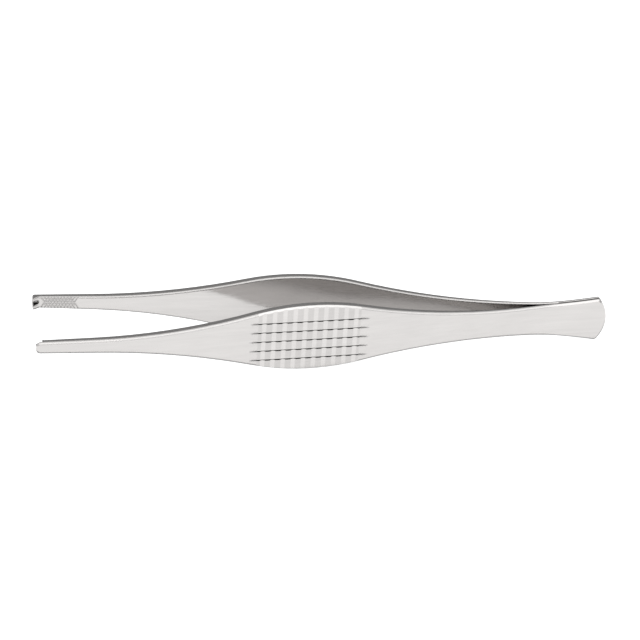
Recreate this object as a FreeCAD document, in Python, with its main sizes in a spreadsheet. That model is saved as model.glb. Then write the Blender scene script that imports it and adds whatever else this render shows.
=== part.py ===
"""Heavy toothed thumb forceps, 180 mm long, lying on their long edges.

Two spring arms are welded face to face at the tail and spread apart towards the tips.
The rear arm ends in two teeth with a notch between them. The front arm ends in one tooth
that enters the notch when the arms are pinched together, between two recesses for the
other arm's teeth, so that the serrated faces of the jaws can meet.

Frame of the whole forceps: X runs along them with the tips at -X, Y is the way the arms
open with the front arm at -Y, Z is up and z = 0 is the surface that they lie on.
Frame of one arm while it is modelled: the tail end is at x = 0 and the tip at negative x,
y points away from the other arm and z runs across the width of the arm.
"""
import FreeCAD, Part
import math
import os
import Sketcher

# Driving dimensions: name, value in millimetres, degrees or pieces, what it is.
# Places along an arm are measured from the tail end or from the tip, as their names say.
SIZES = [
    ("overall_length", 180.0, "length of an arm from tail end to tip"),
    ("tip_width", 3.9, "width of the jaw just behind its rounded nose"),
    ("front_nose", 1.4, "rounding of the front arm's nose seen on the face"),
    ("rear_nose", 0.75, "rounding of the rear arm's nose seen on the face"),
    ("jaw_taper", 1.1, "angle of each edge of the jaw to the centre line"),
    ("hollow_radius", 207.0, "hollow of the edge between jaw and grip"),
    ("grip_width", 22.5, "greatest width of the grip"),
    ("grip_radius", 75.5, "crown of the grip's edges"),
    ("grip_ratio", 0.5267, "widest place of the grip from the tail end, as a part of the length"),
    ("neck_width", 9.6, "least width between grip and tail"),
    ("neck_ratio", 0.194, "narrowest place of the neck from the tail end, as a part of the length"),
    ("end_radius", 11.2, "rounding of the whole tail end"),
    ("corner_radius", 0.9, "rounding of the tail's two corners"),
    ("tail_thickness", 1.35, "thickness of one arm at the tail"),
    ("grip_thickness", 2.7, "thickness of one arm at the grip"),
    ("tip_thickness", 2.1, "thickness of one arm at the tip"),
    ("weld_thickness", 0.1, "weld metal between the two tail lands"),
    ("weld_fillet", 1.6, "how far the weld reaches into the opening of the arms"),
    ("bend_to_tail", 14.0, "start of the bend that parts the arms"),
    ("bend_radius", 71.0, "outside radius of that bend"),
    ("bend_angle", 8.3, "angle that the bend turns each arm outwards"),
    ("bow_radius", 1284.0, "long bow of the outer face from the bend to the tip"),
    ("rim_bevel", 0.55, "bevel round the outer face"),
    ("inner_bevel", 0.3, "bevel round the inner face"),
    ("pattern_shift", -0.9, "middle of the grip pattern behind the widest place of the grip"),
    ("line_shift", 0.65, "middle of the long grooves off the centre line of the grip"),
    ("line_count", 5, "long grooves in the grip"),
    ("line_pitch", 3.22, "distance between the long grooves"),
    ("line_length", 30.2, "length of the long grooves at their full depth"),
    ("line_depth", 0.42, "depth of the long grooves"),
    ("line_angle", 56.0, "angle between the walls of a long groove"),
    ("runout_radius", 18.0, "radius of the cutter that leaves the long grooves' pointed ends"),
    ("runout_angle", 20.0, "turn of that cutter on its way out of the face"),
    ("runout_step", 0.02, "step from a groove's floor up to the floor of its pointed end"),
    ("cross_count", 10, "round cross grooves in the grip"),
    ("cross_pitch", 3.22, "distance between the cross grooves"),
    ("cross_radius", 2.0, "radius of the cutter of the cross grooves"),
    ("cross_depth", 0.24, "depth of the cross grooves"),
    ("serration_to_tip", 3.85, "first groove of the jaw's serration from the tip"),
    ("serration_count", 10, "grooves of the serration in each direction"),
    ("serration_pitch", 1.02, "distance between them along the jaw"),
    ("serration_angle", 60.0, "angle of the serration to the length of the jaw"),
    ("serration_depth", 0.26, "depth of the serration"),
    ("serration_width", 0.62, "width of one serration groove at the face"),
    ("tooth_length", 1.8, "foot of a tooth along the jaw"),
    ("tooth_height", 1.3, "height of the two teeth over the inner face"),
    ("tooth_rise", 0.6, "height of the single tooth over the inner face"),
    ("tooth_crest", 0.3, "flat crest of a tooth along the jaw"),
    ("tooth_foot", 1.7, "foot of the single tooth across the jaw"),
    ("tooth_point", 0.5, "crest of the single tooth across the jaw"),
    ("tooth_clearance", 0.1, "room round the teeth when the jaws are closed"),
    ("blank_allowance", 1.0, "material cut away all round the blank"),
]


def vector(x, y, z=0.0):
    """A short name for a point."""
    return FreeCAD.Vector(x, y, z)


def circles_meet(centre_a, radius_a, centre_b, radius_b, pick):
    """The point where two circles cross; pick chooses between the two by a key."""
    step = centre_b - centre_a
    distance = step.Length
    along = (distance ** 2 + radius_a ** 2 - radius_b ** 2) / (2 * distance)
    across = math.sqrt(radius_a ** 2 - along ** 2)
    foot = centre_a + step * (along / distance)
    side = vector(-step.y, step.x) * (across / distance)
    return max(foot + side, foot - side, key=pick)


def between(centre_a, radius_a, centre_b):
    """The point of circle a that looks at the centre of circle b."""
    return centre_a + (centre_b - centre_a) * (radius_a / (centre_b - centre_a).Length)


class Shape:
    """The places that follow from the driving dimensions, in the frame of one arm."""

    def __init__(self, size, nose):
        self.nose = nose
        self.tip = -size["overall_length"]
        self.side_profile(size)
        self.working_places(size)
        self.face_outline(size)
        self.rest(size)

    def side_profile(self, size):
        """The arm seen from its long edge, in x and y."""
        allowance = size["blank_allowance"]
        angle = math.radians(size["bend_angle"])
        reach = size["bend_radius"] + size["bow_radius"]
        self.land_in = size["weld_thickness"] / 2
        self.land_out = self.land_in + size["tail_thickness"]
        self.bend_centre = vector(-size["bend_to_tail"], self.land_out + size["bend_radius"])
        self.bow_centre = self.bend_centre + vector(-math.sin(angle), -math.cos(angle)) * reach
        self.bend_end = between(self.bow_centre, size["bow_radius"], self.bend_centre)
        self.blank_tip = self.tip - allowance
        tip_out = self.outer_height(self.blank_tip, size)
        grip_x = -size["grip_ratio"] * size["overall_length"]
        self.tip_out = vector(self.blank_tip, tip_out)
        self.tip_in = vector(self.blank_tip, tip_out - size["tip_thickness"])
        self.grip_out = vector(grip_x, self.outer_height(grip_x, size))
        self.grip_in = self.grip_out - vector(0, size["grip_thickness"])
        self.inner_bend_radius = size["bend_radius"] + size["tail_thickness"]
        self.inner_bow(self.inner_bend_radius)
        serrated = size["serration_to_tip"] + size["serration_count"] * size["serration_pitch"]
        self.jaw_flat = serrated + size["tip_width"]
        jaw_x = self.tip + self.jaw_flat
        self.jaw_end = vector(jaw_x, self.inner_height(jaw_x))

    def outer_height(self, x, size):
        """Height of the bowed outer face at a place along the arm."""
        return self.bow_centre.y + math.sqrt(size["bow_radius"] ** 2 - (x - self.bow_centre.x) ** 2)

    def inner_height(self, x):
        """Height of the bowed inner face at a place along the arm."""
        return self.inner_centre.y + math.sqrt(self.inner_radius ** 2 - (x - self.inner_centre.x) ** 2)

    def inner_bow(self, bend_radius):
        """Circle through the inner points of tip and grip that touches the inner bend."""
        chord = self.grip_in - self.tip_in
        middle = (self.grip_in + self.tip_in) * 0.5
        half = chord.Length / 2
        normal = vector(chord.y, -chord.x).normalize()
        offset = middle - self.bend_centre
        constant = offset.dot(offset) - half ** 2 - bend_radius ** 2
        slope = normal.dot(offset)
        a = 4 * (slope ** 2 - bend_radius ** 2)
        b = 4 * constant * slope
        c = constant ** 2 - 4 * bend_radius ** 2 * half ** 2
        root = math.sqrt(b * b - 4 * a * c)
        roots = [(-b + root) / (2 * a), (-b - root) / (2 * a)]
        fits = [s for s in roots if s > 0 and constant + 2 * s * slope > 0]
        depth = min(fits)
        self.inner_centre = middle + normal * depth
        self.inner_radius = math.hypot(half, depth)
        self.inner_touch = between(self.inner_centre, self.inner_radius, self.bend_centre)

    def working_places(self, size):
        """Where the grip pattern, the teeth and the serration sit on the curved faces."""
        across = self.grip_out.x + size["pattern_shift"] - self.bow_centre.x
        self.grip_turn = math.degrees(math.acos(across / size["bow_radius"]))
        slope = (self.jaw_end.y - self.tip_in.y) / (self.jaw_end.x - self.tip_in.x)
        self.jaw_slope = math.degrees(math.atan(slope))
        self.tip_face = self.tip_in.y + size["blank_allowance"] * slope
        self.serration_face = self.tip_face + size["serration_to_tip"] * slope

    def face_outline(self, size):
        """The upper half of the arm seen on its face, in x and z (as the sketch's y)."""
        taper = math.radians(size["jaw_taper"])
        nose = size[self.nose]
        hollow = size["hollow_radius"]
        grip = size["grip_radius"]
        along = vector(math.cos(taper), math.sin(taper))
        outwards = vector(-math.sin(taper), math.cos(taper))
        self.taper_start = vector(self.tip + nose * (1 - math.sin(taper)), size["tip_width"] / 2)
        self.nose_centre = self.taper_start - outwards * nose
        self.grip_crest = vector(self.grip_out.x, size["grip_width"] / 2)
        self.neck_floor = vector(-size["neck_ratio"] * size["overall_length"], size["neck_width"] / 2)
        self.grip_centre = self.grip_crest - vector(0, grip)
        # The hollow touches the tapered edge of the jaw and the crown of the grip.
        offset = self.taper_start + outwards * hollow - self.grip_centre
        ahead = offset.dot(along)
        travel = -ahead - math.sqrt(ahead ** 2 - offset.dot(offset) + (hollow + grip) ** 2)
        self.taper_end = self.taper_start + along * travel
        self.hollow_centre = self.taper_end + outwards * hollow
        self.hollow_end = between(self.grip_centre, grip, self.hollow_centre)
        # The neck touches the crown of the grip and is level at its floor.
        step = self.neck_floor - self.grip_crest
        self.neck_radius = (step.x ** 2 + step.y ** 2) / (-2 * step.y) - grip
        self.neck_centre = self.neck_floor + vector(0, self.neck_radius)
        self.grip_end = between(self.grip_centre, grip, self.neck_centre)
        # The corner touches the neck from outside and the tail end from inside.
        corner = size["corner_radius"]
        end = size["end_radius"]
        self.end_centre = vector(-end, 0)
        self.corner_centre = circles_meet(
            self.end_centre, end - corner, self.neck_centre, self.neck_radius + corner, lambda p: p.x)
        self.neck_end = between(self.neck_centre, self.neck_radius, self.corner_centre)
        away = self.corner_centre - self.end_centre
        self.corner_end = self.end_centre + away * (end / away.Length)

    def rest(self, size):
        """How the forceps lie: on the lower crowns of both grips and the tail's lower corner."""
        crown = vector(self.grip_centre.x, -self.grip_centre.y)
        corner = vector(self.corner_centre.x, -self.corner_centre.y)
        step = corner - crown
        drop = size["grip_radius"] - size["corner_radius"]
        lean = math.atan2(step.x, -step.y) - math.acos(drop / step.Length)
        self.rest_tilt = math.degrees(lean)
        self.rest_lift = size["grip_radius"] - crown.y * math.cos(lean) + crown.x * math.sin(lean)
        self.rest_shift = -self.tip / 2 * math.cos(lean)


def make_sheet(doc):
    """Keeps the driving dimensions and the resting place in a spreadsheet."""
    sheet = doc.addObject("Spreadsheet::Sheet", "sizes")
    size = {name: value for name, value, words in SIZES}
    shape = Shape(size, "rear_nose")
    worked_out = [
        ("bow_x", shape.bow_centre.x, "centre of the long bow, along the arm"),
        ("bow_y", shape.bow_centre.y, "centre of the long bow, across the arms"),
        ("grip_turn", shape.grip_turn, "direction from that centre to the middle of the grip pattern"),
        ("jaw_slope", shape.jaw_slope, "slope of the jaw's inner face"),
        ("jaw_flat", shape.jaw_flat, "length of the flat inner face of the jaw, past its serration"),
        ("tip_face", shape.tip_face, "height of the inner face at the tip"),
        ("serration_face", shape.serration_face, "height of the inner face at the first serration groove"),
        ("rest_tilt", shape.rest_tilt, "tilt of the lying forceps, tail down"),
        ("rest_lift", shape.rest_lift, "height of the arms' centre line over the surface at x = 0"),
        ("rest_shift", shape.rest_shift, "tail end in front of the middle of the forceps"),
    ]
    for row, (name, value, words) in enumerate(SIZES + worked_out, start=1):
        sheet.set("A%d" % row, words)
        sheet.set("B%d" % row, repr(value))
        sheet.setAlias("B%d" % row, name)
    doc.recompute()
    return size, shape


def plane_of(body, role):
    """One of the body's own origin planes."""
    return [feature for feature in body.Origin.OriginFeatures if feature.Role == role][0]


def new_sketch(body, name, role):
    """An empty sketch on one of the body's origin planes."""
    sketch = body.newObject("Sketcher::SketchObject", name)
    sketch.AttachmentSupport = [(plane_of(body, role), "")]
    sketch.MapMode = "FlatFace"
    return sketch


def line(sketch, start, end, construction=False):
    """Adds a straight line and returns its number."""
    return sketch.addGeometry(Part.LineSegment(start, end), construction)


def arc(sketch, centre, radius, start, end):
    """Adds an arc that runs anticlockwise from start to end and returns its number."""
    circle = Part.Circle(centre, vector(0, 0, 1), radius)
    first = math.atan2(start.y - centre.y, start.x - centre.x)
    last = math.atan2(end.y - centre.y, end.x - centre.x)
    if last < first:
        last += 2 * math.pi
    return sketch.addGeometry(Part.ArcOfCircle(circle, first, last), False)


def bind(sketch, expression, kind, *places):
    """Adds a constraint whose value is a formula of the sheet's names."""
    value = sketch.evalExpression(expression)
    if isinstance(value, FreeCAD.Units.Quantity):
        value = math.radians(value.Value)
    number = sketch.addConstraint(Sketcher.Constraint(kind, *places, value))
    sketch.setExpression("Constraints[%d]" % number, expression)


def fix(sketch, *constraints):
    """Adds constraints that hold no size."""
    for constraint in constraints:
        sketch.addConstraint(Sketcher.Constraint(*constraint))


START, END, CENTRE = range(1, 4)
ORIGIN = (-1, 1)
X_AXIS, Y_AXIS = -1, -2


def side_sketch(body, shape, size):
    """The arm's side: two flat lands, the bend, the long bow, the flat jaw and the tapering thickness."""
    sketch = new_sketch(body, "side_profile", "XY_Plane")
    tail = size["blank_allowance"]
    bend = size["bend_radius"]
    end = line(sketch, vector(tail, shape.land_in), vector(tail, shape.land_out))
    land = line(sketch, vector(tail, shape.land_out), vector(shape.bend_centre.x, shape.land_out))
    turn = arc(sketch, shape.bend_centre, bend, shape.bend_end, vector(shape.bend_centre.x, shape.land_out))
    bow = arc(sketch, shape.bow_centre, size["bow_radius"], shape.bend_end, shape.tip_out)
    tip = line(sketch, shape.tip_out, shape.tip_in)
    jaw = line(sketch, shape.tip_in, shape.jaw_end)
    inner_bow = arc(sketch, shape.inner_centre, shape.inner_radius, shape.inner_touch, shape.jaw_end)
    inner_turn = arc(sketch, shape.bend_centre, shape.inner_bend_radius, shape.inner_touch,
                     vector(shape.bend_centre.x, shape.land_in))
    inner_land = line(sketch, vector(shape.bend_centre.x, shape.land_in), vector(tail, shape.land_in))
    gauge = line(sketch, shape.grip_out, shape.grip_in, construction=True)
    fix(sketch,
        ("Vertical", end), ("Horizontal", land), ("Vertical", tip), ("Horizontal", inner_land),
        ("Vertical", gauge),
        ("Coincident", end, END, land, START), ("Coincident", bow, END, tip, START),
        ("Coincident", tip, END, jaw, START), ("Coincident", jaw, END, inner_bow, END),
        ("PointOnObject", tip, END, inner_bow), ("Coincident", inner_land, END, end, START),
        ("Tangent", land, END, turn, END), ("Tangent", turn, START, bow, START),
        ("Tangent", inner_bow, START, inner_turn, START),
        ("Tangent", inner_turn, END, inner_land, START),
        ("Coincident", turn, CENTRE, inner_turn, CENTRE),
        ("PointOnObject", gauge, START, bow), ("PointOnObject", gauge, END, inner_bow))
    bind(sketch, "sizes.blank_allowance", "DistanceX", *ORIGIN, end, START)
    bind(sketch, "sizes.weld_thickness / 2", "DistanceY", *ORIGIN, end, START)
    bind(sketch, "sizes.tail_thickness", "DistanceY", end, START, end, END)
    bind(sketch, "sizes.bend_to_tail", "DistanceX", turn, CENTRE, *ORIGIN)
    bind(sketch, "sizes.bend_radius", "Radius", turn)
    bind(sketch, "sizes.bend_angle * 1 deg", "Angle", turn)
    bind(sketch, "sizes.bow_radius", "Radius", bow)
    bind(sketch, "sizes.overall_length + sizes.blank_allowance", "DistanceX", tip, START, *ORIGIN)
    bind(sketch, "sizes.tip_thickness", "DistanceY", tip, END, tip, START)
    bind(sketch, "sizes.overall_length - sizes.jaw_flat", "DistanceX", jaw, END, *ORIGIN)
    bind(sketch, "sizes.grip_ratio * sizes.overall_length", "DistanceX", gauge, START, *ORIGIN)
    bind(sketch, "sizes.grip_thickness", "DistanceY", gauge, END, gauge, START)
    return sketch


def outline_sketch(body, shape, size):
    """What is cut away above the centre line of the face: nose, jaw, hollow, grip, neck and tail."""
    sketch = new_sketch(body, "face_outline", "XZ_Plane")
    margin = 2 * size["blank_allowance"]
    top = shape.grip_crest.y + margin
    middle = vector(0, 0)
    tip = vector(shape.tip, 0)
    nose_top = vector(shape.tip, shape.nose_centre.y)
    nose_line = line(sketch, tip, nose_top)
    nose = arc(sketch, shape.nose_centre, size[shape.nose], shape.taper_start, nose_top)
    taper = line(sketch, shape.taper_start, shape.taper_end)
    hollow = arc(sketch, shape.hollow_centre, size["hollow_radius"], shape.taper_end, shape.hollow_end)
    grip = arc(sketch, shape.grip_centre, size["grip_radius"], shape.grip_end, shape.hollow_end)
    neck = arc(sketch, shape.neck_centre, shape.neck_radius, shape.grip_end, shape.neck_end)
    corner = arc(sketch, shape.corner_centre, size["corner_radius"], shape.corner_end, shape.neck_end)
    end = arc(sketch, shape.end_centre, size["end_radius"], middle, shape.corner_end)
    corners = [middle, vector(margin, 0), vector(margin, top), vector(shape.tip - margin, top),
               vector(shape.tip - margin, 0), tip]
    box = [line(sketch, a, b) for a, b in zip(corners, corners[1:])]
    crest = sketch.addGeometry(Part.Point(shape.grip_crest), True)
    floor = sketch.addGeometry(Part.Point(shape.neck_floor), True)
    fix(sketch,
        ("Vertical", nose_line), ("PointOnObject", nose_line, START, X_AXIS),
        ("Tangent", nose_line, END, nose, END), ("Tangent", nose, START, taper, START),
        ("Tangent", taper, END, hollow, START), ("Tangent", hollow, END, grip, END),
        ("Tangent", grip, START, neck, START), ("Tangent", neck, END, corner, END),
        ("Tangent", corner, START, end, END), ("Coincident", end, START, *ORIGIN),
        ("PointOnObject", end, CENTRE, X_AXIS),
        ("PointOnObject", crest, START, grip), ("Vertical", crest, START, grip, CENTRE),
        ("PointOnObject", floor, START, neck), ("Vertical", floor, START, neck, CENTRE),
        ("Coincident", box[0], START, *ORIGIN), ("Coincident", box[4], END, nose_line, START))
    for before, after in zip(box, box[1:]):
        fix(sketch, ("Coincident", before, END, after, START))
    for side, way in zip(box, ("Horizontal", "Vertical", "Horizontal", "Vertical", "Horizontal")):
        fix(sketch, (way, side))
    bind(sketch, "sizes.overall_length", "DistanceX", nose_line, START, *ORIGIN)
    bind(sketch, "sizes." + shape.nose, "Radius", nose)
    bind(sketch, "sizes.tip_width / 2", "DistanceY", *ORIGIN, taper, START)
    bind(sketch, "sizes.jaw_taper * 1 deg", "Angle", taper)
    bind(sketch, "sizes.hollow_radius", "Radius", hollow)
    bind(sketch, "sizes.grip_radius", "Radius", grip)
    bind(sketch, "sizes.grip_ratio * sizes.overall_length", "DistanceX", crest, START, *ORIGIN)
    bind(sketch, "sizes.grip_width / 2", "DistanceY", *ORIGIN, crest, START)
    bind(sketch, "sizes.neck_ratio * sizes.overall_length", "DistanceX", floor, START, *ORIGIN)
    bind(sketch, "sizes.neck_width / 2", "DistanceY", *ORIGIN, floor, START)
    bind(sketch, "sizes.corner_radius", "Radius", corner)
    bind(sketch, "sizes.end_radius", "Radius", end)
    bind(sketch, "2 * sizes.blank_allowance", "DistanceX", box[0], START, box[0], END)
    bind(sketch, "2 * sizes.blank_allowance", "DistanceX", box[4], START, box[4], END)
    bind(sketch, "sizes.grip_width / 2 + 2 * sizes.blank_allowance", "DistanceY", box[1], START, box[1], END)
    return sketch


def set_values(feature, **values):
    """Sets several properties of a feature; a text that names the sheet becomes a formula."""
    for name, value in values.items():
        if isinstance(value, str) and "sizes." in value:
            feature.setExpression(name, value)
        else:
            setattr(feature, name, value)
    return feature


def extrude(body, kind, name, sketch, length):
    """A Pad or a Pocket to both sides of its sketch."""
    feature = body.newObject("PartDesign::" + kind, name)
    return set_values(feature, Profile=sketch, Midplane=True, Length=length)


def cut_outline(body, shape, size):
    """Cuts the blank to the outline of the face, above and below the centre line."""
    sketch = outline_sketch(body, shape, size)
    trim = extrude(body, "Pocket", "trim", sketch, "4 * sizes.overall_length")
    both = body.newObject("PartDesign::Mirrored", "trim_both")
    set_values(both, Originals=[trim], MirrorPlane=(plane_of(body, "XY_Plane"), [""]))
    body.Tip = both
    return both


def polygon(sketch, places):
    """Adds a closed outline of straight lines; each corner is a pair of formulas for its x and y."""
    corners = [vector(sketch.evalExpression(x), sketch.evalExpression(y)) for x, y in places]
    edges = [line(sketch, a, b) for a, b in zip(corners, corners[1:] + corners[:1])]
    for before, after in zip(edges, edges[1:] + edges[:1]):
        fix(sketch, ("Coincident", before, END, after, START))
    for edge, (x, y) in zip(edges, places):
        if x == "0":
            fix(sketch, ("PointOnObject", edge, START, Y_AXIS))
        else:
            bind(sketch, x, "DistanceX", *ORIGIN, edge, START)
        if y == "0":
            fix(sketch, ("PointOnObject", edge, START, X_AXIS))
        else:
            bind(sketch, y, "DistanceY", *ORIGIN, edge, START)


def moved_sketch(body, name, place, *turns):
    """An empty sketch in the arm's side plane, moved to a place and then turned in steps."""
    sketch = new_sketch(body, name, "XY_Plane")
    rotations = " * ".join("rotation(vector(%s); %s)" % turn for turn in turns)
    sketch.setExpression("AttachmentOffset", "placement(vector(%s); %s)" % (place, rotations))
    return sketch


ABOUT_X, ABOUT_Y, ABOUT_Z = "1; 0; 0", "0; 1; 0", "0; 0; 1"
TIP_FACE = "-sizes.overall_length; sizes.tip_face; 0"
BOW_CENTRE = "sizes.bow_x; sizes.bow_y; 0"


def tooth_ridge(body, height):
    """A ridge across the whole jaw at its tip, from which the teeth are cut."""
    sketch = moved_sketch(body, "ridge_profile", TIP_FACE, (ABOUT_Z, "sizes.jaw_slope"))
    inside = "sizes.tip_thickness / 2"
    front = "-1.5 * sizes.blank_allowance"
    polygon(sketch, [
        (front, inside), (front, "-" + height), ("sizes.tooth_crest", "-" + height),
        ("sizes.tooth_length", "0"), ("sizes.tooth_length", inside)])
    extrude(body, "Pad", "tooth_ridge", sketch, "sizes.tip_width + 2 * sizes.blank_allowance")
    return sketch


def tooth_sketch(body):
    """A sketch across the jaw at its tip, with x away from the other arm and y across the jaw."""
    return moved_sketch(body, "tooth_profile", TIP_FACE, (ABOUT_Z, "sizes.jaw_slope"),
                        (ABOUT_X, "90"), (ABOUT_Y, "90"))


def cut_teeth(body, sketch):
    """Cuts the teeth out of the jaw, over their length."""
    return extrude(body, "Pocket", "teeth", sketch, "2 * (sizes.tooth_length + sizes.tooth_clearance)")


def single_tooth(body):
    """Leaves one tooth on the centre line, with a recess on each side for the two teeth."""
    sketch = tooth_sketch(body)
    crest = "-sizes.tooth_rise"
    above = crest + " - sizes.blank_allowance"
    recess = "(sizes.tooth_height + sizes.tooth_clearance)"
    for sign in ("", "-"):
        foot = sign + "sizes.tooth_foot / 2"
        point = sign + "sizes.tooth_point / 2"
        outside = sign + "(sizes.tip_width / 2 + sizes.blank_allowance)"
        polygon(sketch, [(recess, foot), (crest, point), (above, point), (above, outside), (recess, outside)])
    return cut_teeth(body, sketch)


def double_tooth(body):
    """Leaves two teeth at the sides of the jaw, with a notch between them for the single tooth."""
    sketch = tooth_sketch(body)
    crest = "-sizes.tooth_height"
    above = crest + " - sizes.blank_allowance"
    notch = "(sizes.tooth_rise + sizes.tooth_clearance)"
    floor = "(sizes.tooth_point / 2 + sizes.tooth_clearance)"
    mouth = "(sizes.tooth_foot / 2 + sizes.tooth_clearance)"
    polygon(sketch, [(notch, floor), (crest, mouth), (above, mouth), (above, "-" + mouth),
                     (crest, "-" + mouth), (notch, "-" + floor)])
    return cut_teeth(body, sketch)


def pattern(body, kind, name, original, axis, count, **extent):
    """Repeats a cut and makes the repeated cut the body's last feature."""
    feature = body.newObject("PartDesign::" + kind, name)
    feature.Originals = [original]
    set_values(feature, Occurrences=count, **axis, **extent)
    body.Tip = feature
    return feature


def cross_grooves(body):
    """Round grooves across the grip, spread evenly along the long bow of its face."""
    step = "sizes.cross_pitch / sizes.bow_radius * 180 / pi"
    first = "sizes.grip_turn - (sizes.cross_count - 1) / 2 * " + step
    sketch = moved_sketch(body, "cross_profile", BOW_CENTRE, (ABOUT_Z, first))
    reach = "sizes.bow_radius + sizes.cross_radius - sizes.cross_depth"
    radius = sketch.evalExpression("sizes.cross_radius")
    circle = Part.Circle(vector(sketch.evalExpression(reach), 0), vector(0, 0, 1), radius)
    cutter = sketch.addGeometry(circle, False)
    fix(sketch, ("PointOnObject", cutter, CENTRE, X_AXIS))
    bind(sketch, reach, "DistanceX", *ORIGIN, cutter, CENTRE)
    bind(sketch, "sizes.cross_radius", "Radius", cutter)
    cut = extrude(body, "Pocket", "cross_groove", sketch, "sizes.grip_width + 2 * sizes.blank_allowance")
    pattern(body, "PolarPattern", "cross_grooves", cut, {"Axis": (sketch, ["N_Axis"])},
            "sizes.cross_count", Angle="(sizes.cross_count - 1) * " + step)


def line_cuts(body, name, place, turn, floor, angle):
    """Turns the sharp profile of a groove round an axis across the arm and repeats the cut over the grip."""
    sketch = moved_sketch(body, name + "_profile", place, (ABOUT_Z, turn), (ABOUT_X, "90"))
    rise = "sizes.line_depth / 2"
    half = "(sizes.line_depth + %s) * tan(sizes.line_angle / 2 * 1 deg)" % rise
    first = "(sizes.line_shift - (sizes.line_count - 1) / 2 * sizes.line_pitch)"
    top = floor + " + sizes.line_depth + " + rise
    polygon(sketch, [(floor, first), (top, first + " - " + half), (top, first + " + " + half)])
    cut = body.newObject("PartDesign::Groove", name)
    set_values(cut, Profile=sketch, ReferenceAxis=(sketch, ["V_Axis"]), Midplane=True, Angle=angle)
    pattern(body, "LinearPattern", name + "s", cut, {"Direction": (sketch, ["V_Axis"])},
            "sizes.line_count", Length="(sizes.line_count - 1) * sizes.line_pitch")


def long_grooves(body):
    """Sharp grooves along the grip: they follow the bow of its face and run out of it at both ends."""
    angle = "sizes.line_length / sizes.bow_radius * 180 / pi"
    floor = "sizes.bow_radius - sizes.line_depth"
    line_cuts(body, "long_groove", BOW_CENTRE, "sizes.grip_turn", floor, angle)
    for name, sign in (("tip_runout", "+"), ("tail_runout", "-")):
        turn = "(sizes.grip_turn %s %s / 2)" % (sign, angle)
        reach = "(%s + sizes.runout_step + sizes.runout_radius)" % floor
        axis = "sizes.bow_x + {0} * cos({1} * 1 deg); sizes.bow_y + {0} * sin({1} * 1 deg); 0"
        line_cuts(body, name, axis.format(reach, turn), turn, "-sizes.runout_radius",
                  "2 * sizes.runout_angle")


def serration(body, along):
    """Two families of sharp grooves that cross on the jaw's inner face and leave small points."""
    place = "-sizes.overall_length + sizes.serration_to_tip; sizes.serration_face; 0"
    rise = "sizes.serration_depth / 2"
    half = "sizes.serration_width / 2"
    wider = half + " * (sizes.serration_depth + %s) / sizes.serration_depth" % rise
    for name, sign in (("rising", "-"), ("falling", "")):
        sketch = moved_sketch(body, name + "_profile", place, (ABOUT_Z, "sizes.jaw_slope"),
                              (ABOUT_Y, sign + "(90 - sizes.serration_angle)"))
        polygon(sketch, [("0", "sizes.serration_depth"), ("-" + wider, "-" + rise), (wider, "-" + rise)])
        cut = extrude(body, "Pocket", name + "_groove", sketch, "2 * sizes.tip_width")
        pattern(body, "LinearPattern", name + "_grooves", cut, {"Direction": (along, ["H_Axis"])},
                "sizes.serration_count", Length="(sizes.serration_count - 1) * sizes.serration_pitch")


def normal_at(face, point):
    """The outward direction of a face at a point on it."""
    u, v = face.Surface.parameter(point)
    return face.normalAt(u, v)


SIDEWAYS = 0.4
FACING = 0.9


def rim_edges(shape, way, start, end):
    """Names of the edges between a wide face that looks in a y direction and the arm's edge faces."""
    names = []
    for number, edge in enumerate(shape.Edges, start=1):
        point = edge.valueAt((edge.FirstParameter + edge.LastParameter) / 2)
        faces = shape.ancestorsOfType(edge, Part.Face)
        tilts = sorted(normal_at(face, point).y * way for face in faces)
        flat_and_side = len(tilts) == 2 and abs(tilts[0]) < SIDEWAYS and tilts[1] > FACING
        if flat_and_side and start < point.x < end:
            names.append("Edge%d" % number)
    return names


def bevel(body, doc, name, width, way, start, end):
    """Bevels the rim of the outer or the inner face."""
    doc.recompute()
    base = body.Tip
    feature = body.newObject("PartDesign::Chamfer", name)
    feature.Base = (base, rim_edges(base.Shape, way, start, end))
    feature.setExpression("Size", width)
    body.Tip = feature
    doc.recompute()
    return feature


OUTER, INNER = 1, -1


def make_arm(doc, name, shape, size, height, cut_tooth, turn):
    """One spring arm, from its blank to its teeth, laid in its place."""
    body = doc.addObject("PartDesign::Body", name)
    body.Label = name
    extrude(body, "Pad", "blank", side_sketch(body, shape, size),
            "sizes.grip_width + 2 * sizes.blank_allowance")
    ridge = tooth_ridge(body, height)
    cut_outline(body, shape, size)
    bevel(body, doc, "rim_bevel", "sizes.rim_bevel", OUTER, shape.blank_tip, size["blank_allowance"])
    bevel(body, doc, "inner_bevel", "sizes.inner_bevel", INNER, shape.tip + size["tooth_length"],
          shape.bend_centre.x)
    cut_tooth(body)
    cross_grooves(body)
    long_grooves(body)
    serration(body, ridge)
    body.setExpression("Placement", "placement(vector(sizes.rest_shift; 0; sizes.rest_lift); "
                       "rotation(vector(0; 1; 0); sizes.rest_tilt) * rotation(vector(1; 0; 0); %s))" % turn)
    return body


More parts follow.
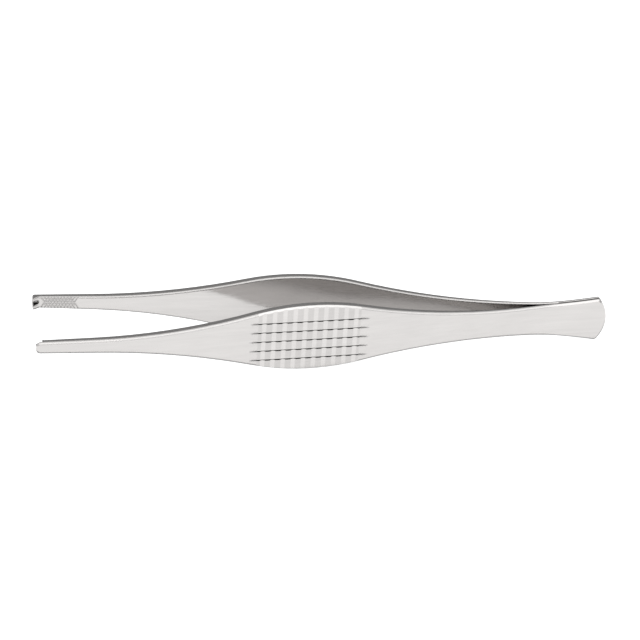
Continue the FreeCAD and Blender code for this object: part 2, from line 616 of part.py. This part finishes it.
def make_weld(doc, shape, size):
    """The weld metal between the two tail lands, which ends just inside the opening of the arms."""
    body = doc.addObject("PartDesign::Body", "tail_weld")
    body.Label = "tail_weld"
    sketch = new_sketch(body, "weld_profile", "XY_Plane")
    bend = shape.bend_centre
    reach = size["weld_fillet"]
    tail = size["blank_allowance"]
    inner = shape.inner_bend_radius
    depth = bend.y - math.sqrt(inner ** 2 - reach ** 2)
    upper_end = vector(bend.x - reach, depth)
    lower_end = vector(bend.x - reach, -depth)
    lower_bend = vector(bend.x, -bend.y)
    end = line(sketch, vector(tail, -shape.land_in), vector(tail, shape.land_in))
    upper = line(sketch, vector(tail, shape.land_in), vector(bend.x, shape.land_in))
    upper_turn = arc(sketch, bend, inner, upper_end, vector(bend.x, shape.land_in))
    front = line(sketch, upper_end, lower_end)
    lower_turn = arc(sketch, lower_bend, inner, vector(bend.x, -shape.land_in), lower_end)
    lower = line(sketch, vector(bend.x, -shape.land_in), vector(tail, -shape.land_in))
    fix(sketch,
        ("Horizontal", upper), ("Vertical", front), ("Horizontal", lower),
        ("Coincident", end, END, upper, START), ("Tangent", upper, END, upper_turn, END),
        ("Coincident", upper_turn, START, front, START), ("Coincident", front, END, lower_turn, END),
        ("Tangent", lower_turn, START, lower, START), ("Coincident", lower, END, end, START),
        ("Symmetric", end, START, end, END, X_AXIS), ("Equal", upper_turn, lower_turn),
        ("Vertical", upper_turn, CENTRE, lower_turn, CENTRE))
    bind(sketch, "sizes.blank_allowance", "DistanceX", *ORIGIN, end, START)
    bind(sketch, "sizes.weld_thickness", "DistanceY", end, START, end, END)
    bind(sketch, "sizes.bend_to_tail", "DistanceX", upper_turn, CENTRE, *ORIGIN)
    bind(sketch, "sizes.bend_radius + sizes.tail_thickness", "Radius", upper_turn)
    bind(sketch, "sizes.bend_to_tail + sizes.weld_fillet", "DistanceX", front, START, *ORIGIN)
    extrude(body, "Pad", "filler", sketch, "sizes.grip_width + 2 * sizes.blank_allowance")
    cut_outline(body, shape, size)
    body.setExpression("Placement", "placement(vector(sizes.rest_shift; 0; sizes.rest_lift); "
                       "rotation(vector(0; 1; 0); sizes.rest_tilt))")
    return body


def check(doc, bodies):
    """Stops the script where a feature failed or a solid is not sound."""
    doc.recompute()
    for item in doc.Objects:
        if "Invalid" in item.State or "Error" in item.State:
            raise RuntimeError("%s did not build" % item.Name)
    for body in bodies:
        if body.Shape.isNull() or not body.Shape.isValid() or len(body.Shape.Solids) != 1:
            raise RuntimeError("%s is not one sound solid" % body.Label)


document = FreeCAD.newDocument("forceps")
sizes, places = make_sheet(document)
pieces = [
    make_arm(document, "front_arm", Shape(sizes, "front_nose"), sizes, "sizes.tooth_rise",
             single_tooth, "180"),
    make_arm(document, "rear_arm", places, sizes, "sizes.tooth_height", double_tooth, "0"),
    make_weld(document, places, sizes),
]
check(document, pieces)
os.makedirs("parts", exist_ok=True)
for piece in pieces:
    piece.Shape.exportStep("parts/%s.step" % piece.Label)
    print(piece.Label, round(piece.Shape.Volume, 1), "mm3", piece.Shape.BoundBox)
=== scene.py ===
"""Toothed thumb forceps: finishes, stage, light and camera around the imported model."""
import math

import bpy
from bpy.props import FloatProperty, FloatVectorProperty, PointerProperty
from bpy.types import NodeSocket, Operator, Panel, PropertyGroup
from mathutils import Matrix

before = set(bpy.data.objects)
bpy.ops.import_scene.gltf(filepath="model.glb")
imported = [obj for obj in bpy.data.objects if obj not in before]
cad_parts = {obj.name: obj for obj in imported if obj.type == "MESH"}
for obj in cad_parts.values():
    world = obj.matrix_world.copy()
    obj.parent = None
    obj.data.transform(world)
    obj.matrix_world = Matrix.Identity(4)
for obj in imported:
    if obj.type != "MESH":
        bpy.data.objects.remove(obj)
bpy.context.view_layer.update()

bl_info = {
    "name": "Toothed Thumb Forceps",
    "version": (1, 0, 0),
    "blender": (4, 5, 0),
    "location": "View3D > Sidebar > Forceps",
    "description": "Gives the forceps their satin steel, and sets up the stage, light and camera",
    "category": "Object",
}

ARMS = ("front_arm", "rear_arm")
WELD = "tail_weld"
WHITE = (1.0, 1.0, 1.0, 1.0)

# The long bow of the outer faces: its radius, how far its centre lies along the arms and behind
# the middle plane, and the lean of the arms on the floor.
BOW_RADIUS = 1.284
BOW_ALONG = -0.1200936
BOW_BEHIND = 1.268407
ARM_LEAN = math.radians(2.534)

# The grip pattern: its middle along the arms, half its length, and half the stretch over which
# its finish and painted sheen end.
GRIP_MIDDLE = -0.0064
GRIP_REACH = 0.0161
GRIP_FADE = 0.0002
# Depths under the bowed face: where the grip's finish and painted sheen end, and where the lands
# give way to the milled cross grooves.
GRIP_DEPTH = (0.0005, 0.0008)
MILLED_DEPTH = (0.00003, 0.0002)

# Where the arms meet, along the arms. Over a short stretch before it the polish of the edges
# shrinks to a part of its radius.
TAIL_START = 0.0755
TAIL_FADE = 0.006
TAIL_POLISH = 0.2

# Noise cells per metre along x, y and z.
LINE_CELLS = (60.0, 2600.0, 2600.0)
BLAST_CELLS = (5200.0, 5200.0, 5200.0)
CLOUD_CELLS = (45.0, 90.0, 90.0)
STREAK_CELLS = (25.0, 900.0, 900.0)
SKIN_CELLS = (3000.0, 3000.0, 3000.0)
# The part of the noise's range that tells, and what it does to tone, colour and roughness.
NOISE_SPAN = (0.3, 0.7)
STREAK_TONE = (0.975, 1.025)
CLOUD_SHARE = 0.05
SKIN_SHARE = 0.2
LINE_MATT = (-0.05, 0.07)

# Strength of the relief of the blasted tooth, the grinding lines and the weld's skin, and the
# height of the skin.
BLAST_STRENGTH = 0.35
LINE_STRENGTH = 0.25
SKIN_STRENGTH = 0.5
SKIN_HEIGHT = 0.00002

# How open the surroundings are where the painted shade is full and where it ends, in the grooves and in
# the crotch, and how far up an underside faces where its painted shade is darkest and where that ends.
GROOVE_OPEN = (0.35, 0.9)
CROTCH_OPEN = (0.3, 0.75)
UNDER_FACING = (-0.4, -0.03)

# Directions in the surroundings, as parts of a unit vector: the soft edges of the horizon, of the
# dark card behind and of the softbox over the front.
HORIZON_TOP = (-0.05, 0.2)
CARD_FRONT = (0.45, 0.7)
CARD_TOP = (0.54, 0.68)
CARD_LEFT = (-0.75, -0.4)
CARD_RIGHT = (0.45, 0.6)
SOFTBOX_BACK = (-0.45, -0.15)
SOFTBOX_FOOT = (0.55, 0.75)
# Brightness of the surroundings as the camera sees them.
SEEN_WHITE = 1.2

# The floor: its sides, how far it lies under the forceps, how matt it is, and where its glow
# goes over from front to back.
FLOOR_SIDES = 96
FLOOR_DROP = 0.00002
FLOOR_ROUGHNESS = 0.9
GLOW_EDGE = (0.004, 0.02)

# The camera's frame in millimetres, and the nearest that it sees.
SENSOR_WIDTH = 36.0
CLIP_START = 0.01


class SteelSettings(PropertyGroup):
    """Finish of the two spring arms and of the weld between them."""
    color: FloatVectorProperty(
        name="Colour", description="Colour of the satin steel", subtype="COLOR", size=3,
        min=0.0, max=1.0, default=(0.56, 0.546, 0.537))
    roughness: FloatProperty(
        name="Roughness", description="How matt the satin finish is", subtype="FACTOR",
        min=0.0, max=1.0, default=0.12)
    grain_height: FloatProperty(
        name="Grain height", description="Height of the finest grinding lines", subtype="DISTANCE",
        unit="LENGTH", min=0.0, max=0.001, precision=6, default=0.000004)
    # Painted shade deep in the grooves, darker the nearer the groove walls.
    groove_shade_tone: FloatProperty(
        name="Groove tone", description="How much of the steel's colour is left deep in the grooves",
        subtype="FACTOR", min=0.0, max=1.0, default=0.5)
    groove_reach: FloatProperty(
        name="Groove reach", description="How near a wall has to be to darken a groove", subtype="DISTANCE",
        unit="LENGTH", min=0.0, max=0.01, precision=6, default=0.0005)
    # Painted shade where the arms close up, darker the nearer the other arm.
    crotch_shade_tone: FloatProperty(
        name="Crotch tone", description="How much of the colour is left where the arms close up",
        subtype="FACTOR", min=0.0, max=1.0, default=0.25)
    crotch_reach: FloatProperty(
        name="Crotch reach", description="How near the other arm has to be to darken the crotch",
        subtype="DISTANCE", unit="LENGTH", min=0.0, max=0.01, precision=4, default=0.0025)
    # Lands and milled cross grooves toned apart: partly their finish, partly a painted sheen that stands for
    # the grooves' brighter reflections.
    land_tone: FloatProperty(
        name="Land tone", description="How much of the steel's colour the lands of the grip have",
        subtype="FACTOR", min=0.0, max=1.0, default=0.9)
    milled_tone_and_sheen: FloatProperty(
        name="Milled tone", description="How much brighter the milled cross grooves are",
        min=1.0, max=1.5, default=1.05)
    # Painted shade on the long edges that face down, darker the more they face down, not a duller finish.
    under_shade_tone: FloatProperty(
        name="Under tone", description="How much of the colour the duller long edges below have",
        subtype="FACTOR", min=0.0, max=1.0, default=0.2)
    edge_round: FloatProperty(
        name="Edge rounding", description="Radius of the polish on the long edges", subtype="DISTANCE",
        unit="LENGTH", min=0.0, max=0.001, precision=6, default=0.0007)
    weld_color: FloatVectorProperty(
        name="Weld colour", description="Colour of the weld metal", subtype="COLOR", size=3,
        min=0.0, max=1.0, default=(0.30, 0.29, 0.28))
    weld_roughness: FloatProperty(
        name="Weld roughness", description="How matt the weld metal is", subtype="FACTOR",
        min=0.0, max=1.0, default=0.45)


class StageSettings(PropertyGroup):
    """Floor, light and camera."""
    floor_color: FloatVectorProperty(
        name="Floor", description="Colour of the floor", subtype="COLOR", size=3,
        min=0.0, max=1.0, default=(0.35, 0.35, 0.35))
    floor_radius: FloatProperty(
        name="Floor radius", description="Radius of the round floor", subtype="DISTANCE",
        unit="LENGTH", min=0.1, max=10.0, default=0.6)
    front_glow: FloatProperty(
        name="Front glow", description="Light that the floor gives off in front, as a light table does",
        min=0.0, max=2.0, default=0.98)
    back_glow: FloatProperty(
        name="Back glow", description="Light that the floor gives off behind the forceps",
        min=0.0, max=2.0, default=0.25)
    sky: FloatProperty(
        name="Sky", description="Brightness of the studio overhead", min=0.0, max=5.0, default=0.92)
    softbox: FloatProperty(
        name="Softbox", description="Brightness of the softbox over the front, as a multiple of the sky's",
        min=1.0, max=4.0, default=2.0)
    horizon: FloatProperty(
        name="Horizon", description="Brightness low over the floor, as a part of the sky's",
        subtype="FACTOR", min=0.0, max=1.0, default=0.45)
    card: FloatProperty(
        name="Dark card", description="Brightness of the dark card behind, as a part of the sky's",
        subtype="FACTOR", min=0.0, max=1.0, default=0.32)
    camera_place: FloatVectorProperty(
        name="Camera", description="Place of the camera", subtype="TRANSLATION", unit="LENGTH", size=3,
        default=(-0.10643, -0.76725, 0.46533))
    camera_turn: FloatVectorProperty(
        name="Camera turn", description="Turn of the camera", subtype="EULER", unit="ROTATION", size=3,
        default=(math.radians(59.619), math.radians(-1.016), math.radians(-7.220)))
    lens: FloatProperty(
        name="Lens", description="Focal length in millimetres on a frame 36 mm wide",
        min=10.0, max=400.0, default=161.8)


def new_material(name):
    """A material with only its shader and output."""
    material = bpy.data.materials.new(name)
    material.use_nodes = True
    return material, material.node_tree, material.node_tree.nodes["Principled BSDF"]


def feed(tree, slot, value):
    """Links an input to a socket, or sets it to a plain value."""
    if isinstance(value, NodeSocket):
        tree.links.new(value, slot)
    else:
        slot.default_value = value


def node(tree, kind, **values):
    """Adds a shader node, sets its properties and feeds its inputs by name."""
    added = tree.nodes.new(kind)
    for name, value in values.items():
        if name in added.inputs:
            feed(tree, added.inputs[name], value)
        else:
            setattr(added, name, value)
    return added


def calculate(tree, operation, *given, kind="ShaderNodeMath"):
    """Adds a node that calculates with sockets or plain values, and returns the socket of the result."""
    added = node(tree, kind, operation=operation)
    for slot, value in zip(added.inputs, given):
        feed(tree, slot, value)
    return added.outputs["Value"]


def product(tree, first, *others):
    """Multiplies values and returns the socket of the result."""
    result = first
    for other in others:
        result = calculate(tree, "MULTIPLY", result, other)
    return result


def axes(tree, vector):
    """Splits a vector into its sockets X, Y and Z."""
    return node(tree, "ShaderNodeSeparateXYZ", Vector=vector).outputs


def map_range(tree, value, before, after, kind="LINEAR"):
    """Takes a value from one range to another and returns the socket of the result."""
    added = node(tree, "ShaderNodeMapRange", interpolation_type=kind, Value=value)
    for name, number in zip(("From Min", "From Max", "To Min", "To Max"), (*before, *after)):
        added.inputs[name].default_value = number
    return added.outputs["Result"]


def fade_in(tree, value, span):
    """Rises softly from 0 to 1 over a span of the value."""
    return map_range(tree, value, span, (0.0, 1.0), "SMOOTHSTEP")


def fade_out(tree, value, span):
    """Falls softly from 1 to 0 over a span of the value."""
    return map_range(tree, value, span, (1.0, 0.0), "SMOOTHSTEP")


def grain(tree, place, cells, detail):
    """Fine noise with its own number of cells per metre along each axis."""
    stretched = node(tree, "ShaderNodeMapping", Vector=place, Scale=cells)
    noise = node(tree, "ShaderNodeTexNoise", Vector=stretched.outputs["Vector"], Scale=1.0, Detail=detail,
                 Roughness=0.6)
    return noise.outputs["Fac"]


def varied_color(tree, color, share, noise):
    """Lets a noise make a colour darker and brighter by a share of itself."""
    darker = (*[part * (1.0 - share) for part in color], 1.0)
    brighter = (*[min(1.0, part * (1.0 + share)) for part in color], 1.0)
    added = node(tree, "ShaderNodeMix", data_type="RGBA", blend_type="MIX", A=darker, B=brighter,
                 Factor=noise)
    return added.outputs["Result"]


def shell_depth(tree, place):
    """Depth under the bowed outer face, distance from the grip's middle, and place along the arm."""
    lean = (math.cos(ARM_LEAN), 0.0, -math.sin(ARM_LEAN))
    along = calculate(tree, "DOT_PRODUCT", place, lean, kind="ShaderNodeVectorMath")
    out = calculate(tree, "ABSOLUTE", axes(tree, place)["Y"])
    spot = node(tree, "ShaderNodeCombineXYZ", X=along, Y=out).outputs["Vector"]
    centre = (BOW_ALONG, -BOW_BEHIND, 0.0)
    reach = calculate(tree, "DISTANCE", spot, centre, kind="ShaderNodeVectorMath")
    depth = calculate(tree, "SUBTRACT", BOW_RADIUS, reach)
    beside = calculate(tree, "ABSOLUTE", calculate(tree, "SUBTRACT", along, GRIP_MIDDLE))
    return depth, beside, along


def grip_finish_and_sheen(tree, settings, depth, beside):
    """Duller lands and brighter milled grooves, partly their finish and partly a painted sheen: their tone,
    1 off the grip, and where the grip is.
    """
    within = map_range(tree, beside, (GRIP_REACH - GRIP_FADE, GRIP_REACH + GRIP_FADE), (1.0, 0.0))
    near_face = map_range(tree, depth, GRIP_DEPTH, (1.0, 0.0))
    on_grip = product(tree, within, near_face)
    milled = map_range(tree, depth, MILLED_DEPTH, (settings.land_tone, settings.milled_tone_and_sheen), "SMOOTHSTEP")
    tone = node(tree, "ShaderNodeMix", data_type="FLOAT", A=1.0, B=milled, Factor=on_grip)
    return tone.outputs["Result"], on_grip


def edge_polish(tree, settings, on_grip, along):
    """Normals rounded over the long edges: not on the grip, and only a little on the tail."""
    off_grip = map_range(tree, on_grip, (0.0, 1.0), (settings.edge_round, 0.0))
    thinning = map_range(tree, along, (TAIL_START - TAIL_FADE, TAIL_START), (1.0, TAIL_POLISH))
    rounding = node(tree, "ShaderNodeBevel", samples=8, Radius=product(tree, off_grip, thinning))
    return rounding.outputs["Normal"]


def painted_hollow_shade(tree, settings):
    """Painted shade: how much tone is left deep in the grooves and where the arms close up, darker the
    nearer the walls.
    """
    walls = node(tree, "ShaderNodeAmbientOcclusion", samples=16, only_local=True,
                 Distance=settings.groove_reach)
    groove = map_range(tree, walls.outputs["AO"], GROOVE_OPEN, (settings.groove_shade_tone, 1.0))
    arms = node(tree, "ShaderNodeAmbientOcclusion", samples=8, Distance=settings.crotch_reach)
    crotch = map_range(tree, arms.outputs["AO"], CROTCH_OPEN, (settings.crotch_shade_tone, 1.0))
    return product(tree, groove, crotch)


def steel_material(settings):
    """Satin stainless steel: ground along the arms, milled on the grip, polished on the long edges.

    Soft patches and brushed streaks vary its tone. Painted shade darkens it in the grooves, in the crotch
    and on the undersides, and a painted sheen brightens the milled cross grooves. Grinding lines and a
    blasted tooth give it its relief.
    """
    material, tree, shader = new_material("satin_steel_finish")
    place = node(tree, "ShaderNodeTexCoord").outputs["Object"]
    lines = grain(tree, place, LINE_CELLS, detail=3.0)
    blast = grain(tree, place, BLAST_CELLS, detail=2.0)
    clouds = grain(tree, place, CLOUD_CELLS, detail=2.0)
    streaks = grain(tree, place, STREAK_CELLS, detail=3.0)
    depth, beside, along = shell_depth(tree, place)
    grip_tone, on_grip = grip_finish_and_sheen(tree, settings, depth, beside)
    polish = edge_polish(tree, settings, on_grip, along)

    brushed = map_range(tree, streaks, NOISE_SPAN, STREAK_TONE)
    # Painted shade: the steel is darker where it faces down.
    painted_under_shade = map_range(tree, axes(tree, polish)["Z"], UNDER_FACING, (settings.under_shade_tone, 1.0))
    # Painted shade in the grooves and the crotch darkens the tone.
    tone = product(tree, painted_hollow_shade(tree, settings), product(tree, grip_tone, brushed, painted_under_shade))
    color = varied_color(tree, settings.color, CLOUD_SHARE, clouds)
    toned = node(tree, "ShaderNodeMix", data_type="RGBA", blend_type="MULTIPLY", Factor=1.0, A=color, B=tone)
    feed(tree, shader.inputs["Base Color"], toned.outputs["Result"])

    matt = tuple(settings.roughness + change for change in LINE_MATT)
    feed(tree, shader.inputs["Roughness"], map_range(tree, lines, NOISE_SPAN, matt))

    tooth = node(tree, "ShaderNodeBump", Strength=BLAST_STRENGTH, Distance=settings.grain_height,
                 Height=blast, Normal=polish)
    ground = node(tree, "ShaderNodeBump", Strength=LINE_STRENGTH, Distance=settings.grain_height,
                  Height=lines, Normal=tooth.outputs["Normal"])
    feed(tree, shader.inputs["Normal"], ground.outputs["Normal"])
    shader.inputs["Metallic"].default_value = 1.0
    return material


def weld_material(settings):
    """Dull weld metal with a grainy skin."""
    material, tree, shader = new_material("weld_metal_finish")
    place = node(tree, "ShaderNodeTexCoord").outputs["Object"]
    skin = grain(tree, place, SKIN_CELLS, detail=4.0)
    feed(tree, shader.inputs["Base Color"], varied_color(tree, settings.weld_color, SKIN_SHARE, skin))
    bump = node(tree, "ShaderNodeBump", Strength=SKIN_STRENGTH, Distance=SKIN_HEIGHT, Height=skin)
    feed(tree, shader.inputs["Normal"], bump.outputs["Normal"])
    shader.inputs["Metallic"].default_value = 1.0
    shader.inputs["Roughness"].default_value = settings.weld_roughness
    return material


def floor_material(settings):
    """Pale paint that glows as a light table does, brighter in front, and is white to the camera."""
    material, tree, shader = new_material("studio_floor_paint")
    shader.inputs["Base Color"].default_value = (*settings.floor_color, 1.0)
    shader.inputs["Roughness"].default_value = FLOOR_ROUGHNESS
    shader.inputs["Emission Color"].default_value = WHITE
    place = node(tree, "ShaderNodeTexCoord").outputs["Object"]
    glow = map_range(tree, axes(tree, place)["Y"], GLOW_EDGE, (settings.front_glow, settings.back_glow),
                     "SMOOTHSTEP")
    seen = node(tree, "ShaderNodeLightPath").outputs["Is Camera Ray"]
    feed(tree, shader.inputs["Emission Strength"], calculate(tree, "MAXIMUM", glow, seen))
    return material


def cover(name, material):
    """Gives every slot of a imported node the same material."""
    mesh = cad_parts[name].data
    mesh.materials.clear()
    mesh.materials.append(material)


def studio_world(scene, settings):
    """The surroundings: white to the camera, and a studio to the steel.

    The studio is a bright ceiling over a darker horizon, with a softbox over the front and a dark
    card behind.
    """
    world = bpy.data.worlds.new("studio")
    world.use_nodes = True
    scene.world = world
    tree = world.node_tree
    way = axes(tree, node(tree, "ShaderNodeTexCoord").outputs["Generated"])

    low = map_range(tree, way["Z"], HORIZON_TOP, (settings.horizon, 1.0), "SMOOTHSTEP")
    upright = product(tree, fade_in(tree, way["Y"], CARD_FRONT), fade_out(tree, way["Z"], CARD_TOP))
    across = product(tree, fade_in(tree, way["X"], CARD_LEFT), fade_out(tree, way["X"], CARD_RIGHT))
    card = map_range(tree, product(tree, upright, across), (0.0, 1.0), (1.0, settings.card))
    over_front = product(tree, fade_out(tree, way["Y"], SOFTBOX_BACK), fade_in(tree, way["Z"], SOFTBOX_FOOT))
    softbox = map_range(tree, over_front, (0.0, 1.0), (1.0, settings.softbox))
    glow = product(tree, low, card, softbox, settings.sky)

    seen = node(tree, "ShaderNodeLightPath").outputs["Is Camera Ray"]
    shown = node(tree, "ShaderNodeMix", data_type="FLOAT", A=glow, B=SEEN_WHITE, Factor=seen)
    background = tree.nodes["Background"]
    background.inputs["Color"].default_value = WHITE
    feed(tree, background.inputs["Strength"], shown.outputs["Result"])


class FORCEPS_OT_arms(Operator):
    """Gives both spring arms their satin steel"""
    bl_idname = "forceps.arms"
    bl_label = "Finish the arms"

    def execute(self, context):
        material = steel_material(context.scene.forceps_steel)
        for name in ARMS:
            cover(name, material)
        return {"FINISHED"}


class FORCEPS_OT_weld(Operator):
    """Gives the weld between the tails its dull metal"""
    bl_idname = "forceps.weld"
    bl_label = "Finish the weld"

    def execute(self, context):
        cover(WELD, weld_material(context.scene.forceps_steel))
        return {"FINISHED"}


class FORCEPS_OT_stage(Operator):
    """Lays the floor and sets up the light and the camera"""
    bl_idname = "forceps.stage"
    bl_label = "Set the stage"

    def execute(self, context):
        settings = context.scene.forceps_stage
        bpy.ops.object.select_all(action="DESELECT")
        bpy.ops.mesh.primitive_circle_add(
            vertices=FLOOR_SIDES, radius=settings.floor_radius, fill_type="NGON",
            location=(0.0, 0.0, -FLOOR_DROP))
        floor = context.active_object
        floor.name = "studio_floor"
        floor.data.materials.append(floor_material(settings))
        studio_world(context.scene, settings)
        context.scene.view_settings.view_transform = "Standard"
        context.scene.view_settings.look = "None"
        bpy.ops.object.camera_add(location=settings.camera_place, rotation=settings.camera_turn)
        camera = context.active_object
        camera.name = "photo_camera"
        camera.data.sensor_width = SENSOR_WIDTH
        camera.data.lens = settings.lens
        camera.data.clip_start = CLIP_START
        context.scene.camera = camera
        return {"FINISHED"}


STEPS = (FORCEPS_OT_arms, FORCEPS_OT_weld, FORCEPS_OT_stage)


class FORCEPS_PT_sidebar(Panel):
    """Lists the steps and their settings"""
    bl_idname = "FORCEPS_PT_sidebar"
    bl_label = "Toothed thumb forceps"
    bl_space_type = "VIEW_3D"
    bl_region_type = "UI"
    bl_category = "Forceps"

    def draw(self, context):
        for step in STEPS:
            self.layout.operator(step.bl_idname)
        for settings in (context.scene.forceps_steel, context.scene.forceps_stage):
            box = self.layout.box()
            for name in settings.__annotations__:
                box.prop(settings, name)


CLASSES = (SteelSettings, StageSettings, *STEPS, FORCEPS_PT_sidebar)


def register():
    for item in CLASSES:
        bpy.utils.register_class(item)
    bpy.types.Scene.forceps_steel = PointerProperty(type=SteelSettings)
    bpy.types.Scene.forceps_stage = PointerProperty(type=StageSettings)


def unregister():
    del bpy.types.Scene.forceps_stage
    del bpy.types.Scene.forceps_steel
    for item in reversed(CLASSES):
        bpy.utils.unregister_class(item)


def main():
    """Makes the whole scene."""
    register()
    bpy.ops.forceps.arms()
    bpy.ops.forceps.weld()
    bpy.ops.forceps.stage()


if __name__ == "__main__":
    main()
